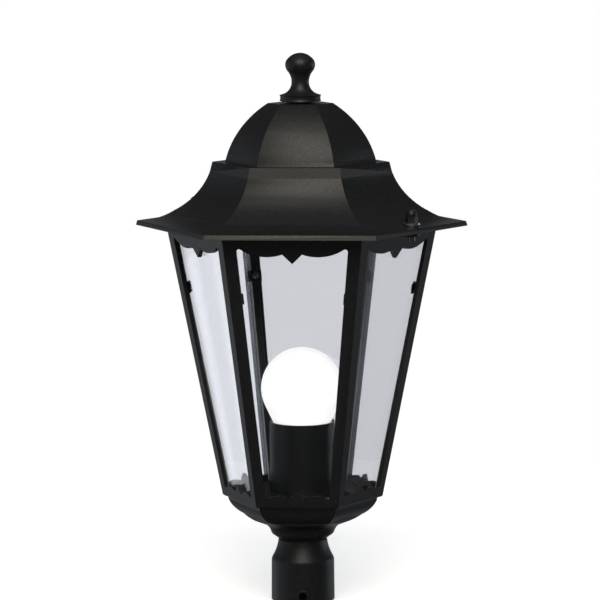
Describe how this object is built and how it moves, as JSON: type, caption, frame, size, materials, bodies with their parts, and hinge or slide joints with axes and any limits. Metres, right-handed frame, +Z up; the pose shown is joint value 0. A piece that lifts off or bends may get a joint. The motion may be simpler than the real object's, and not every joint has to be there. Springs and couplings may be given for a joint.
{
  "type": "post top lantern",
  "caption": "Cast hexagonal post top lantern: domed lift-off roof with flared eaves, leaning glazed cage with scalloped rails, round bowl and sleeve fitter for a tube post.",
  "frame": {"origin": "centre of the fitter's bottom rim, on the axis of its post socket", "axes": "+Z up along the post; one glazed side faces -Y, and the cap nuts stand at azimuths -30 and 150 degrees from +X"},
  "size_m": [0.244, 0.2114, 0.405],
  "materials": {
    "cast_black": "satin",
    "gasket_black": "matte",
    "steel": "satin",
    "stainless": "satin",
    "black_steel": "satin",
    "brass": "satin",
    "clear_glass": "gloss",
    "opal_glass": "satin",
    "insulator_black": "gloss",
    "ceramic": "satin",
    "sleeve_plastic": "satin"
  },
  "bodies": {
    "lantern": {"fitter": "cast_black", "neck_gasket": "gasket_black", "nipple": "steel", "nipple_washer_lower": "steel", "nipple_nut_lower": "steel", "nipple_washer_upper": "steel", "nipple_nut_upper": "steel", "bowl": "cast_black", "earth_washer": "brass", "earth_screw": "brass", "floor_plate": "cast_black", "floor_screws": "steel", "cage_frame": "cast_black", "glass_pane_front": "clear_glass", "glass_pane_front_right": "clear_glass", "glass_pane_rear_right": "clear_glass", "glass_pane_rear": "clear_glass", "glass_pane_rear_left": "clear_glass", "glass_pane_front_left": "clear_glass", "pane_clips": "black_steel", "pane_clip_screws": "stainless", "roof_studs": "stainless", "holder_bracket": "steel", "holder_screws": "steel", "holder_body": "ceramic", "thread_sleeve": "brass", "centre_contact": "brass", "holder_terminals": "brass", "terminal_screws": "brass", "lamp_shroud": "sleeve_plastic"},
    "roof": {"roof_shell": "cast_black", "finial": "cast_black", "finial_washer": "steel", "finial_screw": "steel"},
    "nut_right": {"cap_nut_right": "cast_black", "cap_washer_right": "steel"},
    "nut_left": {"cap_nut_left": "cast_black", "cap_washer_left": "steel"},
    "lamp_tip": {"bulb_contact": "brass", "bulb_insulator": "insulator_black"},
    "lamp": {"bulb_glass": "opal_glass", "bulb_cap": "brass"},
    "screw_front": {"set_screw_front": "black_steel"},
    "screw_right": {"set_screw_right": "black_steel"},
    "screw_left": {"set_screw_left": "black_steel"}
  },
  "joints": [
    {"name": "roof_lift", "type": "slide", "parent": "lantern", "child": "roof", "axis": [0, 0, 1], "range_m": [0, 0.12]},
    {"name": "cap_nut_right_travel", "type": "slide", "parent": "roof", "child": "nut_right", "axis": [0, 0, 1], "range_m": [0, 0.00721]},
    {"name": "cap_nut_left_travel", "type": "slide", "parent": "roof", "child": "nut_left", "axis": [0, 0, 1], "range_m": [0, 0.00721]},
    {"name": "lamp_climb", "type": "slide", "parent": "lantern", "child": "lamp_tip", "axis": [0, 0, 1], "range_m": [0, 0.02541]},
    {"name": "lamp_turn", "type": "hinge", "parent": "lamp_tip", "child": "lamp", "pos_m": [0, 0, 0.15], "axis": [0, 0, 1], "range_deg": [0, 2520]},
    {"name": "set_screw_front_travel", "type": "slide", "parent": "lantern", "child": "screw_front", "axis": [0.0698, -0.9976, 0], "range_m": [-0.0025, 0.002]},
    {"name": "set_screw_right_travel", "type": "slide", "parent": "lantern", "child": "screw_right", "axis": [0.829, 0.5592, 0], "range_m": [-0.0025, 0.002]},
    {"name": "set_screw_left_travel", "type": "slide", "parent": "lantern", "child": "screw_left", "axis": [-0.8988, 0.4384, 0], "range_m": [-0.0025, 0.002]}
  ],
  "couplings": [
    {"joint": "lamp_climb", "follows": "lamp_turn", "m_per_rad": 0.00057757}
  ]
}
